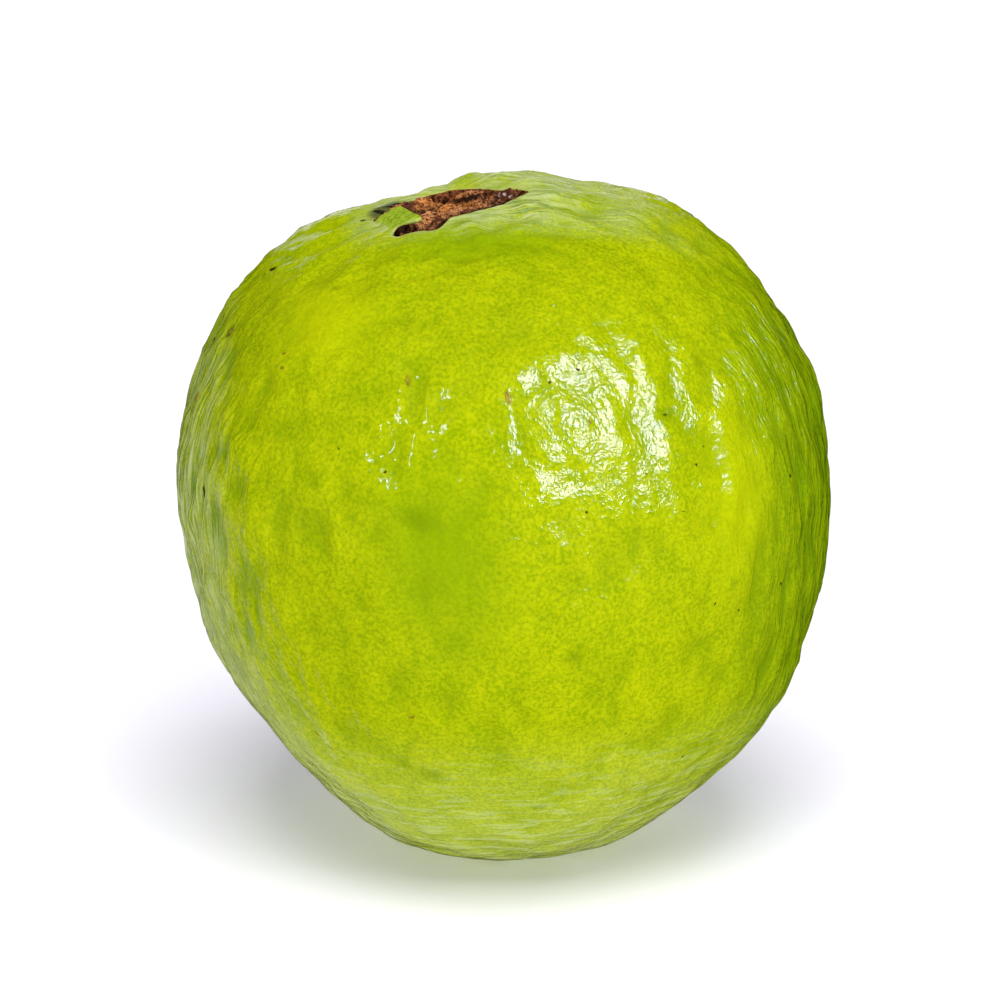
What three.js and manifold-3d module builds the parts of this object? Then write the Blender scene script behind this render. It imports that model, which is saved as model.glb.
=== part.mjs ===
// A whole guava as picked, standing on its stem end with the calyx, where the flower sat, on top.
// Two solids: the fruit, a single berry whose skin runs up over the torn calyx rim and its sepals,
// and the dried flower, the brown corky remains that lie in the calyx cup.
// Millimetres, +Z up, the origin on the ground under the middle of the fruit, the front towards -Y.
import * as THREE from "three";
import { mergeVertices } from "three/addons/utils/BufferGeometryUtils.js";
import Module from "manifold-3d";

const wasm = await Module();
wasm.setup();

const { lerp, smoothstep, degToRad, radToDeg } = THREE.MathUtils;

// ---- driving dimensions ----

// The fruit's own frame has its origin on the core line at the widest place and +Z towards the
// calyx. Azimuths are in degrees from the right-hand side, 90 at the back; polar angles run
// from 0 at the calyx to 180 at the stem end.
const body = {
  halfWidth: 39.6, // from the core line out to the skin at the widest place
  calyxHeight: 38.6, // from the widest place up to the calyx
  stemHeight: 46.0, // from the widest place down to the stem end, before it settles
  shoulderPower: 2.3, // 2 is an ellipse, more is a squarer shoulder
  stemPower: 1.93, // a little under 2 draws the stem end in
  sides: 3, // blunt sides, pushed out by the seed chambers
  sideSwell: 1.0,
  sideAzimuth: 8,
};
const lean = { left: 10, front: 5.4 }; // degrees that the calyx leans off the vertical
const rest = { sink: 1.1, softness: 0.6 }; // how far the fruit's weight presses it flat

// Broad swellings of the flesh, and hollows where the height is negative.
const swellings = [
  { azimuth: 2, polar: 82, reach: 6, height: 0.6 }, // the knob on the right
  { azimuth: 7, polar: 67, reach: 5, height: -0.3 }, // the flat of the right shoulder
  { azimuth: 12, polar: 54, reach: 4.5, height: 0.5 },
  { azimuth: 30, polar: 34, reach: 6, height: 0.4 },
  { azimuth: 42, polar: 22, reach: 5, height: 0.8 }, // the high shoulder, right of the back sepal
  { azimuth: 106, polar: 20, reach: 7, height: -1.2 }, // sunken behind the cup, left of that sepal
  { azimuth: -4, polar: 16, reach: 5.5, height: 0.9 }, // the raised right end of the cup
  { azimuth: 164, polar: 38, reach: 5, height: 0.3 },
  { azimuth: -172, polar: 92, reach: 11, height: 0.2 },
  { azimuth: -152, polar: 129, reach: 7, height: -0.6 }, // the straight lower left side
  { azimuth: -130, polar: 147, reach: 6, height: 0.6 },
  { azimuth: -65, polar: 154, reach: 9, height: -0.6 },
  { azimuth: -22, polar: 131, reach: 10, height: 0.85 }, // the full lower right side
];

// Slow uneven waves all over the skin.
const unevenness = { waves: 14, shortest: 15, longest: 36, height: 0.07, seed: 7 };

// The calyx cup. Its azimuths are taken about its own middle, a little in front of the core line.
const cup = { middle: new THREE.Vector2(0.3, -3.2), radius: 7.3, depth: 4.6, taper: 0.12 };
// The rim is torn outwards between the sepals.
const tears = [
  { azimuth: 10, length: 3.0, spread: 11 },
  { azimuth: 163, length: 1.9, spread: 16 },
  { azimuth: 226, length: 1.2, spread: 10 },
];
// The front sepal lies in over the cup, as far as a straight edge.
const frontSepal = { edge: 3.9, azimuth: -70, leftFrom: -102, leftTo: -80 };
// The back sepal is folded outwards into a low ridge behind the rim.
const backSepal = { left: 90, right: 22, fade: 20, crest: 3.8, reach: 2.7, height: 0.75 };
// The left sepal is a loose flap over the cup: its corners in the fruit's frame, left to right,
// with the rise of each above the skin.
const leftSepal = {
  thickness: 0.9,
  rootBack: { x: -9.0, y: -2.6, rise: -0.9 },
  rootFront: { x: -7.6, y: -7.7, rise: -0.9 },
  tipBack: { x: -5.0, y: -0.8, rise: 0.5 },
  tipFront: { x: -2.4, y: -8.0, rise: 0.6 },
  arch: 0.4,
};
// Skin drawn in towards the rim: puckers that run outwards, and folds that run round. Each grows
// over the first stretch outwards from the rim and fades over the second.
const puckers = { count: 15, azimuth: 4, height: 0.3, grow: [1.5, 4.5], fade: [6, 17] };
const folds = { spacing: 3.6, azimuth: -45, spread: 75, height: 0.28, grow: [2, 4], fade: [7, 13] };
const rimEdge = { curl: 0.9, drop: 0.35, round: 0.3 };

// The stem end: a dimple with the round scar of the stalk in it, and creases that run into it.
const stemEnd = {
  dimple: { reach: 5.2, depth: 1.8 },
  scar: { flat: 1.9, foot: 2.8, rise: 0.9 },
  creases: { count: 9, height: 0.22, grow: [2.5, 4.5], fade: [7, 13] },
};

// The dried flower: a corky ring along the cup's wall, a furrow, and a lumpy disc in the middle.
// Depths are measured from the rim, and places are shares of the flower's own radius.
const flower = {
  gap: 0.5, // clear of the cup all round
  ring: { foot: 0.82, crest: 0.95, depth: 0.4 },
  tuck: { azimuth: 203, spread: 34, depth: 1.9 }, // where the ring ducks under the left sepal
  disc: { edge: 0.6, foot: 0.78, depth: 1.3 },
  furrowDepth: 2.9,
  lumps: { waves: 16, shortest: 2.4, longest: 6, height: 0.11, seed: 23 },
};

// How finely each stretch is divided.
const facets = {
  segments: 80,
  nearRings: 14,
  nearReach: 16, // from the rim to the last of the near rings
  nearCrowding: 1.4, // over 1 draws the near rings together at the rim
  bodyRings: 24,
  stemRings: 8,
  stemReach: 12,
  cupFloorRings: 3,
  flowerSegments: 64,
  flowerRings: 11,
  flapRows: 7,
};

// ---- helpers ----

// 1 in the middle, falling smoothly to nothing a few reaches away.
const bell = (distance, reach) => Math.exp(-((distance / reach) ** 2));

// 0, then rising to 1 over the first stretch, and falling to 0 again over the second.
const span = (distance, { grow, fade }) =>
  smoothstep(distance, grow[0], grow[1]) * (1 - smoothstep(distance, fade[0], fade[1]));

// The turn between two azimuths, 0 to 180 degrees.
const azimuthGap = (a, b) => Math.abs(((((a - b) % 360) + 540) % 360) - 180);

function direction(azimuth, polar) {
  const out = Math.sin(degToRad(polar));
  return new THREE.Vector3(
    out * Math.cos(degToRad(azimuth)),
    out * Math.sin(degToRad(azimuth)),
    Math.cos(degToRad(polar)),
  );
}

// The azimuth of a place on the plan.
const azimuthOf = ({ x, y }) => radToDeg(Math.atan2(y, x));

// A repeatable stream of random numbers from 0 to 1.
function randomStream(seed) {
  const [multiplier, increment, modulus] = [1664525, 1013904223, 2 ** 32];
  let state = seed;
  return () => {
    state = (state * multiplier + increment) % modulus;
    return state / modulus;
  };
}

// A sum of seeded random waves, which gives a height for any point.
function randomWaves({ waves, shortest, longest, height, seed }) {
  const random = randomStream(seed);
  const list = [];
  for (let i = 0; i < waves; i += 1) {
    const length = lerp(shortest, longest, random());
    const heading = direction(360 * random(), radToDeg(Math.acos(1 - 2 * random())));
    list.push({ rate: heading.multiplyScalar((2 * Math.PI) / length), start: 2 * Math.PI * random() });
  }
  return (point) => {
    let sum = 0;
    for (const { rate, start } of list) sum += height * Math.sin(point.dot(rate) + start);
    return sum;
  };
}

// A closed shell from rings of points, each ring the same length, with a pole at either end.
// The rings run so that the outside is to the left of their direction from the first to the last.
function shellFromRings(firstPole, rings, lastPole) {
  const count = rings[0].length;
  const points = [firstPole, ...rings.flat(), lastPole];
  const lastIndex = points.length - 1;
  const triangles = [];
  const at = (ring, segment) => 1 + ring * count + (segment % count);
  for (let s = 0; s < count; s += 1) {
    triangles.push(0, at(0, s + 1), at(0, s));
    triangles.push(lastIndex, at(rings.length - 1, s), at(rings.length - 1, s + 1));
  }
  for (let r = 0; r + 1 < rings.length; r += 1) {
    for (let s = 0; s < count; s += 1) {
      triangles.push(at(r, s), at(r, s + 1), at(r + 1, s + 1));
      triangles.push(at(r, s), at(r + 1, s + 1), at(r + 1, s));
    }
  }
  const shell = new THREE.BufferGeometry().setFromPoints(points);
  shell.setIndex(triangles);
  return shell;
}

const azimuths = (count) => Array.from({ length: count }, (_, i) => (360 * i) / count);

// ---- the calyx ----

// The rim's distance from the cup's middle.
function rimRadius(azimuth) {
  let open = cup.radius;
  for (const tear of tears) {
    open += tear.length * bell(azimuthGap(azimuth, tear.azimuth), tear.spread);
  }
  const turn = ((azimuth + 180) % 360) - 180;
  const towardsEdge = Math.cos(degToRad(azimuth - frontSepal.azimuth));
  const covered = towardsEdge > 0 ? Math.min(open, frontSepal.edge / towardsEdge) : open;
  return lerp(open, covered, smoothstep(turn, frontSepal.leftFrom, frontSepal.leftTo));
}

// A place on the plan of the calyx, given by its azimuth about the cup and its distance outwards
// from the rim. Further out, the rings become circles round the core line.
function calyxPlan(azimuth, outward) {
  const share = outward / facets.nearReach;
  const radius = outward + lerp(rimRadius(azimuth), cup.radius, smoothstep(share, 0, 1));
  const plan = direction(azimuth, 90).multiplyScalar(radius);
  plan.x += cup.middle.x * (1 - share);
  plan.y += cup.middle.y * (1 - share);
  return plan;
}

// The back sepal's ridge ends abruptly on the left and fades out on the right.
function backRidge(azimuth, outward) {
  const { left, right, fade, crest, reach, height } = backSepal;
  const along = azimuth < left ? smoothstep(azimuth, right - fade, right + fade) : 0;
  return along * height * bell(outward - crest, reach);
}

// What the calyx adds to the skin, at a place on its plan.
function calyxRelief(plan) {
  const fromCup = { x: plan.x - cup.middle.x, y: plan.y - cup.middle.y };
  const azimuth = azimuthOf(fromCup);
  const outward = Math.hypot(fromCup.x, fromCup.y) - rimRadius(azimuth);
  const pucker = Math.cos(degToRad(puckers.count * (azimuth - puckers.azimuth)));
  const fold = Math.cos((2 * Math.PI * outward) / folds.spacing);
  const inFront = bell(azimuthGap(azimuth, folds.azimuth), folds.spread);
  const curl = 1 - smoothstep(outward, 0, rimEdge.curl);
  return (
    backRidge(azimuth, outward) +
    puckers.height * span(outward, puckers) * pucker +
    folds.height * span(outward, folds) * inFront * fold -
    rimEdge.drop * curl
  );
}

// ---- the fruit ----

const skinWaves = randomWaves(unevenness);

// What the stem end adds to the skin, by the distance from the core line.
function stemRelief(azimuth, distance) {
  const { dimple, scar, creases } = stemEnd;
  const standing = 1 - smoothstep(distance, scar.flat, scar.foot);
  const crease = Math.cos(degToRad(creases.count * azimuth));
  return (
    scar.rise * standing -
    dimple.depth * bell(distance, dimple.reach) +
    creases.height * span(distance, creases) * crease
  );
}

// The point of the skin that lies in a direction from the fruit's middle.
function skinPoint(azimuth, polar) {
  const heading = direction(azimuth, polar);
  const out = Math.hypot(heading.x, heading.y);
  const upper = heading.z > 0;
  const height = upper ? body.calyxHeight : body.stemHeight;
  const power = upper ? body.shoulderPower : body.stemPower;
  const plain = ((out / body.halfWidth) ** power + (Math.abs(heading.z) / height) ** power) ** (-1 / power);
  const point = heading.clone().multiplyScalar(plain);
  let relief = body.sideSwell * out ** 2 * Math.cos(degToRad(body.sides * (azimuth - body.sideAzimuth)));
  for (const swelling of swellings) {
    const place = direction(swelling.azimuth, swelling.polar);
    relief += swelling.height * bell(body.halfWidth * heading.distanceTo(place), swelling.reach);
  }
  relief += skinWaves(point);
  relief += upper ? calyxRelief(point) : stemRelief(azimuth, plain * out);
  return heading.multiplyScalar(plain + relief);
}

// The skin over a place on the calyx's plan.
function skinOverPlan(plan) {
  const polar = radToDeg(Math.atan2(Math.hypot(plan.x, plan.y), body.calyxHeight));
  return skinPoint(azimuthOf(plan), polar);
}

const rimHeight = skinOverPlan(new THREE.Vector3(cup.middle.x, cup.middle.y, 0)).z;

// A point on the cup's core line, at a depth under the rim.
const cupMiddle = (depth) => new THREE.Vector3(cup.middle.x, cup.middle.y, rimHeight - depth);

// A point of the cup's wall, which leans in a little as it goes down, or clear of it by a gap.
function wallPoint(azimuth, depth, gap = 0) {
  const radius = rimRadius(azimuth) - rimEdge.round - cup.taper * depth - gap;
  return direction(azimuth, 90).multiplyScalar(radius).add(cupMiddle(depth));
}

// The berry's skin from the stem end up to the rim, then down the cup's wall and over its floor.
function fruitShell() {
  const around = azimuths(facets.segments);
  const rings = [];
  const addRing = (pointAt) => rings.push(around.map(pointAt));
  const nearPolar = radToDeg(Math.atan2(cup.radius + facets.nearReach, body.calyxHeight));
  const stemPolar = 180 - radToDeg(Math.atan2(facets.stemReach, body.stemHeight));
  for (let r = 1; r <= facets.stemRings; r += 1) {
    addRing((azimuth) => skinPoint(azimuth, lerp(180, stemPolar, r / facets.stemRings)));
  }
  for (let r = 1; r < facets.bodyRings; r += 1) {
    addRing((azimuth) => skinPoint(azimuth, lerp(stemPolar, nearPolar, r / facets.bodyRings)));
  }
  for (let r = facets.nearRings; r >= 0; r -= 1) {
    const outward = facets.nearReach * (r / facets.nearRings) ** facets.nearCrowding;
    addRing((azimuth) => skinOverPlan(calyxPlan(azimuth, outward)));
  }
  addRing((azimuth) => wallPoint(azimuth, cup.depth / 2));
  for (let r = facets.cupFloorRings; r >= 1; r -= 1) {
    const share = r / facets.cupFloorRings;
    addRing((azimuth) => cupMiddle(cup.depth).lerp(wallPoint(azimuth, cup.depth), share));
  }
  return shellFromRings(skinPoint(0, 180), rings, cupMiddle(cup.depth));
}

// The left sepal: a thin arched plate, rooted in the flesh and lying over the cup's edge.
function sepalShell() {
  const { rootBack, rootFront, tipBack, tipFront, thickness, arch } = leftSepal;
  const plate = new THREE.BoxGeometry(1, 1, 1, facets.flapRows, facets.flapRows, 1);
  plate.deleteAttribute("normal");
  plate.deleteAttribute("uv");
  const shell = mergeVertices(plate);
  const spots = shell.attributes.position;
  const blend = (key, out, back) =>
    lerp(lerp(rootFront[key], rootBack[key], back), lerp(tipFront[key], tipBack[key], back), out);
  for (let i = 0; i < spots.count; i += 1) {
    const out = spots.getX(i) + 0.5; // 0 at the root, 1 at the tip
    const back = spots.getY(i) + 0.5; // 0 along the front edge, 1 along the back
    const under = 0.5 - spots.getZ(i); // 0 on top, 1 underneath
    const rise = blend("rise", out, back) + arch * Math.sin(Math.PI * out);
    spots.setXYZ(i, blend("x", out, back), blend("y", out, back), rimHeight + rise - under * thickness);
  }
  return shell;
}

// ---- the dried flower ----

const flowerLumps = randomWaves(flower.lumps);

// How deep the top of the dried flower lies under the rim.
function flowerDepth(azimuth, point, share) {
  const { ring, tuck, disc, furrowDepth } = flower;
  const ringDepth = ring.depth + tuck.depth * bell(azimuthGap(azimuth, tuck.azimuth), tuck.spread);
  const ringRise = (furrowDepth - ringDepth) * smoothstep(share, ring.foot, ring.crest);
  const discRise = (furrowDepth - disc.depth) * (1 - smoothstep(share, disc.edge, disc.foot));
  return furrowDepth - Math.max(ringRise, discRise) - flowerLumps(point);
}

// The underside from its middle out to the edge, then the top from the edge back to the middle.
function flowerShell() {
  const around = azimuths(facets.flowerSegments);
  const base = cup.depth - flower.gap;
  const underside = (azimuth, share) => cupMiddle(base).lerp(wallPoint(azimuth, base, flower.gap), share);
  const top = (azimuth, share) => {
    const point = underside(azimuth, share);
    return point.setZ(rimHeight - flowerDepth(azimuth, point, share));
  };
  const rings = [0.5, 1].map((share) => around.map((azimuth) => underside(azimuth, share)));
  for (let r = facets.flowerRings; r >= 1; r -= 1) {
    rings.push(around.map((azimuth) => top(azimuth, r / facets.flowerRings)));
  }
  return shellFromRings(cupMiddle(base), rings, top(0, 0));
}

// ---- putting it together ----

const toSolid = (shell) =>
  new wasm.Manifold(
    new wasm.Mesh({
      numProp: 3,
      vertProperties: Float32Array.from(shell.attributes.position.array),
      triVerts: Uint32Array.from(shell.index.array),
    }),
  );

function toGeometry(solid) {
  const { vertProperties, triVerts } = solid.getMesh();
  const shell = new THREE.BufferGeometry();
  shell.setAttribute("position", new THREE.BufferAttribute(vertProperties, 3));
  shell.setIndex(new THREE.BufferAttribute(triVerts, 1));
  return shell;
}

// The flesh under the ground's level is pressed up flat, with a soft turn at the flat's edge.
function settle(shape, ground) {
  const spots = shape.attributes.position;
  for (let i = 0; i < spots.count; i += 1) {
    const height = Math.max(0, spots.getZ(i) - ground);
    const soft = rest.softness;
    spots.setZ(i, height < soft ? height ** 2 / (2 * soft) : height - soft / 2);
  }
}

const leaning = new THREE.Matrix4()
  .makeRotationX(degToRad(lean.front))
  .multiply(new THREE.Matrix4().makeRotationY(degToRad(-lean.left)));

const fruitShape = toGeometry(toSolid(fruitShell()).add(toSolid(sepalShell()))).applyMatrix4(leaning);
const flowerShape = flowerShell().applyMatrix4(leaning);

fruitShape.computeBoundingBox();
const ground = fruitShape.boundingBox.min.z + rest.sink;
for (const shape of [fruitShape, flowerShape]) settle(shape, ground);

fruitShape.computeBoundingBox();
const middle = fruitShape.boundingBox.getCenter(new THREE.Vector3());
for (const shape of [fruitShape, flowerShape]) {
  shape.translate(-middle.x, -middle.y, 0);
  shape.computeVertexNormals();
}

const waxySkin = new THREE.MeshStandardMaterial({ color: 0xa8c008, roughness: 0.35, metalness: 0 });
const driedTissue = new THREE.MeshStandardMaterial({ color: 0x9a5c2e, roughness: 0.9, metalness: 0 });

const fruit = new THREE.Mesh(fruitShape, waxySkin);
fruit.name = "fruit";
const driedFlower = new THREE.Mesh(flowerShape, driedTissue);
driedFlower.name = "dried_flower";

const group = new THREE.Group();
group.add(fruit, driedFlower);

export default group;
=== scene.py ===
# A whole guava standing on its stem end, with the torn calyx and the dried flower on top.
import math

import bpy
from mathutils import Matrix, Vector, noise
from mathutils.bvhtree import BVHTree
from mathutils.geometry import intersect_point_line


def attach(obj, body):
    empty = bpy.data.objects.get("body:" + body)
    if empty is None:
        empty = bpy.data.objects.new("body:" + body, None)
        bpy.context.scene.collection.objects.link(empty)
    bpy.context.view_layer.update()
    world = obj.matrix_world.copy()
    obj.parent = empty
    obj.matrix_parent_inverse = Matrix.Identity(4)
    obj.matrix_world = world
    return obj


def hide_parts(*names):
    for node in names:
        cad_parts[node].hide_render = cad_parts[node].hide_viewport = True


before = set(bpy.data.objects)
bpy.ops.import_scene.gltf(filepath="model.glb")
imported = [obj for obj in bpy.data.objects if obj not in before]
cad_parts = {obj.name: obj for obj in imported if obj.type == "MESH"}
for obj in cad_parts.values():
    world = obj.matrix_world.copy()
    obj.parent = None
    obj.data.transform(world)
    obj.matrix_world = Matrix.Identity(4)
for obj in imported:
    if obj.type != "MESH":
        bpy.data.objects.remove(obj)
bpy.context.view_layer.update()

mm = 0.001
noise.seed_set(7)  # the same folds in each run

# the fruit's own frame: origin on the core line at the widest place, +Z to the calyx, in mm
fruit = {
    "middle": Vector((-0.66, 0.79, 44.14)),  # in the model's frame
    "leanLeft": 10.0,
    "leanFront": 5.4,
    "calyxHeight": 38.45,
    "calyxMiddle": Vector((0.3, -3.2)),
}
leaning = Matrix.Rotation(math.radians(fruit["leanFront"]), 3, "X") @ Matrix.Rotation(
    math.radians(-fruit["leanLeft"]), 3, "Y"
)
calyxTop = leaning @ Vector((*fruit["calyxMiddle"], fruit["calyxHeight"])) + fruit["middle"]
stemEnd = Vector((7.16, 4.96, 0.1))  # the scar of the stalk, in the model's frame


def toFruit(point):
    # a point of the model in metres, in the fruit's frame in mm
    return leaning.transposed() @ (point / mm - fruit["middle"])


def smooth(low, high, value):
    # 0 at low, 1 at high, easing in and out
    share = min(1.0, max(0.0, (value - low) / (high - low)))
    return share * share * (3 - 2 * share)


# the camera, through which the marks are placed
view = {
    "target": Vector((-0.46, 0.0, 44.1)),  # mm
    "elevation": 15.0,
    "distance": 500.0,
    "lens": 147.15,
    "sensor": 36.0,
    "pixels": 1000,  # across the frame
    "nearest": 0.01,  # m, where the view begins
}


def makeCamera():
    tilt = math.radians(view["elevation"])
    back = Vector((0, -math.cos(tilt), math.sin(tilt)))
    data = bpy.data.cameras.new("camera")
    data.lens = view["lens"]
    data.sensor_width = view["sensor"]
    data.clip_start = view["nearest"]
    camera = bpy.data.objects.new("camera", data)
    bpy.context.scene.collection.objects.link(camera)
    camera.location = (view["target"] + back * view["distance"]) * mm
    camera.rotation_euler = (-back).to_track_quat("-Z", "Y").to_euler()
    bpy.context.scene.camera = camera
    return camera


camera = makeCamera()
fruitTree = BVHTree.FromObject(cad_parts["fruit"], bpy.context.evaluated_depsgraph_get())
flowerTree = BVHTree.FromObject(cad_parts["dried_flower"], bpy.context.evaluated_depsgraph_get())


def onSkin(pixel, carrier=fruitTree):
    # the point of the fruit or the flower behind a pixel, in metres, and the way that it faces
    perPixel = view["sensor"] / view["lens"] / view["pixels"]
    half = view["pixels"] / 2
    aim = Vector(((pixel[0] - half) * perPixel, (half - pixel[1]) * perPixel, -1))
    turn = camera.rotation_euler.to_matrix()
    point, normal, _, _ = carrier.ray_cast(camera.location, turn @ aim.normalized())
    return point, normal


def selectOnly(piece):
    bpy.ops.object.select_all(action="DESELECT")
    piece.select_set(True)
    bpy.context.view_layer.objects.active = piece


# corners nearer than the gap merge, in mm; a face may bend and be out of square by so many degrees
merging = {"gap": 0.002, "bend": 50.0, "skew": 70.0}


def copyOfNode(nodeName, pieceName):
    # the node's loose triangles, merged and turned back into four-sided faces
    bend, skew = math.radians(merging["bend"]), math.radians(merging["skew"])
    piece = bpy.data.objects.new(pieceName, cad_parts[nodeName].data.copy())
    bpy.context.scene.collection.objects.link(piece)
    piece.data.materials.clear()
    selectOnly(piece)
    bpy.ops.object.mode_set(mode="EDIT")
    bpy.ops.mesh.select_all(action="SELECT")
    bpy.ops.mesh.remove_doubles(threshold=merging["gap"] * mm)
    bpy.ops.mesh.tris_convert_to_quads(face_threshold=bend, shape_threshold=skew)
    bpy.ops.object.mode_set(mode="OBJECT")
    return piece


def applied(piece, kind, **settings):
    selectOnly(piece)
    modifier = piece.modifiers.new(kind.title(), kind)
    for name, value in settings.items():
        setattr(modifier, name, value)
    bpy.ops.object.modifier_apply(modifier=modifier.name)


def shadeSmooth(piece):
    selectOnly(piece)
    bpy.ops.object.shade_smooth()


# the skin: sizes in mm, and pairs are where something begins and where it is full
skinForm = {
    "subdivisions": 2,
    "crisp": {"reach": 14.0, "degrees": 42.0},  # edges round the calyx that stay sharp
    "lumpSize": 4.8, "lumpHeight": 0.34,
    "dimpleSize": 2.1, "dimpleHeight": 0.12,
    "warpSize": 7.0, "warp": 2.4,  # bends the folds
    "fold": {  # up and down the flanks, deeper at the sides
        "width": 2.2, "length": 8.0, "height": 0.4, "atSides": 0.12,
        "fromCalyx": (16, 30), "levels": (10, 30), "sides": (20, 34),
    },
    "crease": {  # over the crown, large and fine
        "width": 1.9, "length": 11.0, "height": 0.13, "bend": 0.45, "middle": 0.6,
        "fine": 0.5, "fineHeight": 0.1, "fromCalyx": (7.5, 10), "end": (18, 31),
    },
    "ring": {"length": 9.0, "width": 1.9, "height": 0.13, "levels": (8, 19)},  # round the stem end
    "pit": {"at": (667, 413), "reach": 1.5, "depth": 0.45},
    "torn": {"size": 0.9, "depth": 0.3, "reach": (0.8, 2.6)},  # the rim of the cup is ragged
    "footKept": (0.2, 2.5), "rimKept": (0.4, 1.6),  # no relief at the flat spot and next to the flower
    "stroke": {"length": 4.2, "width": 0.46, "wave": 1.6, "waveSize": 6.0},  # bloom and painted sheen in wavy strokes
    "flap": {"sheet": 1.3, "thinned": 0.78, "depth": 0.15, "under": 0.35, "reach": 12},
}

# what the material is told of each place: these shares, from 0 to 1
skinShares = ("hollow", "pale", "deadTissue", "crown", "dull", "sepal", "cut", "stemScar")
skinPlaces = {
    "hollow": (0.02, -0.35),  # the relief's height, for the painted shade in its hollows
    "crown": {"right": 0.8, "left": 1.9, "front": 2.3, "span": (12, 26)},  # wrinkled, and pale with bloom and painted sheen
    "dull": {"right": 0.75, "left": 1.0, "front": 1.9, "span": (16, 28)},  # with little wax
    "above": (0, 12),  # where both begin, over the widest place
    "patch": {"size": 5.0, "middle": 0.8, "swing": 0.9},
    # pale crests and lip are partly painted sheen; the pale foot is painted light
    "palePeak": {"share": 0.3, "span": (9, 20), "above": (0, 10), "crest": (-0.2, 0.15)},
    "paleLip": {"share": 0.45, "inner": (0.9, 1.2), "outer": (1.2, 1.9)},
    "paleFoot": {"share": 0.27, "levels": (3, 28), "more": 0.35, "moreLevels": (1, 8), "crest": (-0.5, 0.15)},
    "dead": {
        "wall": (0.3, 0.6), "overRim": (-0.2, 0.3), "outside": (11, 12),
        "rim": (0.5, 1.0), "fray": 0.35, "fraySize": 0.7,
    },
    "sepal": {"reach": 11, "drop": 1.2, "start": 0.05, "sheet": 1.5, "edge": (0.2, 0.6)},
    "scar": (2.4, 3.4),
}


def ridged(place):
    # sharp crests between soft hollows, -1 to 1
    return 1 - 2 * abs(noise.noise(place))


def skinRelief(point):
    # the height in mm that the fine form adds
    form = skinForm
    place = toFruit(point)
    height = form["lumpHeight"] * noise.noise(place / form["lumpSize"])
    height += form["dimpleHeight"] * noise.noise(place / form["dimpleSize"])
    bent = place + noise.noise_vector(place / form["warpSize"]) * form["warp"]
    plan = Vector((place.x, place.y)) - fruit["calyxMiddle"]
    fromCalyx = plan.length if place.z > 0 else math.inf
    level = point.z / mm

    fold = form["fold"]
    wave = noise.noise(Vector((bent.x / fold["width"], bent.y / fold["width"], bent.z / fold["length"])))
    flank = smooth(*fold["fromCalyx"], fromCalyx) * smooth(*fold["levels"], level)
    folds = flank * (fold["height"] + fold["atSides"] * smooth(*fold["sides"], abs(place.x))) * wave

    crease = form["crease"]
    soft = place.lerp(bent, crease["bend"])
    run = Vector((soft.x / crease["length"], soft.y / crease["width"], soft.z / crease["width"]))
    creases = crease["height"] * (ridged(run) - crease["middle"])
    creases += crease["fineHeight"] * (ridged(run / crease["fine"]) - crease["middle"])
    folds += smooth(*crease["fromCalyx"], fromCalyx) * (1 - smooth(*crease["end"], fromCalyx)) * creases

    ring = form["ring"]
    wave = noise.noise(Vector((bent.x / ring["length"], bent.y / ring["length"], bent.z / ring["width"])))
    folds += (1 - smooth(*ring["levels"], level)) * ring["height"] * wave
    return height + folds


def stretchedReach(plan, zone):
    # the distance from the calyx, counted as longer or shorter on each side
    across = plan.x * (zone["right"] if plan.x > 0 else zone["left"])
    back = plan.y * (zone["front"] if plan.y < 0 else 1.0)
    return Vector((across, back)).length


def paleShare(place, level, reach, height, toFlower):
    # paler on the crests round the calyx and on the lip of the cup, pale skin partly painted as sheen, and
    # painted light towards the foot, lifting its shade
    peak, lip, foot = (skinPlaces[name] for name in ("palePeak", "paleLip", "paleFoot"))
    onPeak = peak["share"] * (1 - smooth(*peak["span"], reach)) * smooth(*peak["above"], place.z)
    onLip = lip["share"] * smooth(*lip["inner"], toFlower) * (1 - smooth(*lip["outer"], toFlower))
    onFoot = foot["share"] * (1 - smooth(*foot["levels"], level))
    onFoot += foot["more"] * (1 - smooth(*foot["moreLevels"], level))
    return max(onLip, onPeak * smooth(*peak["crest"], height) + onFoot * smooth(*foot["crest"], height))


def deadShare(point, place, plan, facing, toFlower):
    # dead brown tissue on the wall of the cup and along its rim
    dead = skinPlaces["dead"]
    wall = smooth(*dead["wall"], -Vector((facing.x, facing.y)).dot(plan.normalized()))
    wall *= 1 - smooth(*dead["overRim"], place.z - fruit["calyxHeight"])
    wall *= 1 - smooth(*dead["outside"], plan.length)
    fray = dead["fray"] * noise.noise(point / (dead["fraySize"] * mm))
    return max(wall, 1 - smooth(*dead["rim"], toFlower + fray))


def isSepal(tree, point, place, plan, normal):
    # a thin sheet near the calyx: its other side is close behind the point
    sepal = skinPlaces["sepal"]
    if plan.length >= sepal["reach"] or place.z <= fruit["calyxHeight"] - sepal["drop"]:
        return 0.0
    behind = tree.ray_cast(point - normal * sepal["start"] * mm, -normal, sepal["sheet"] * mm)[3]
    return 1.0 if behind else 0.0


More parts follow.
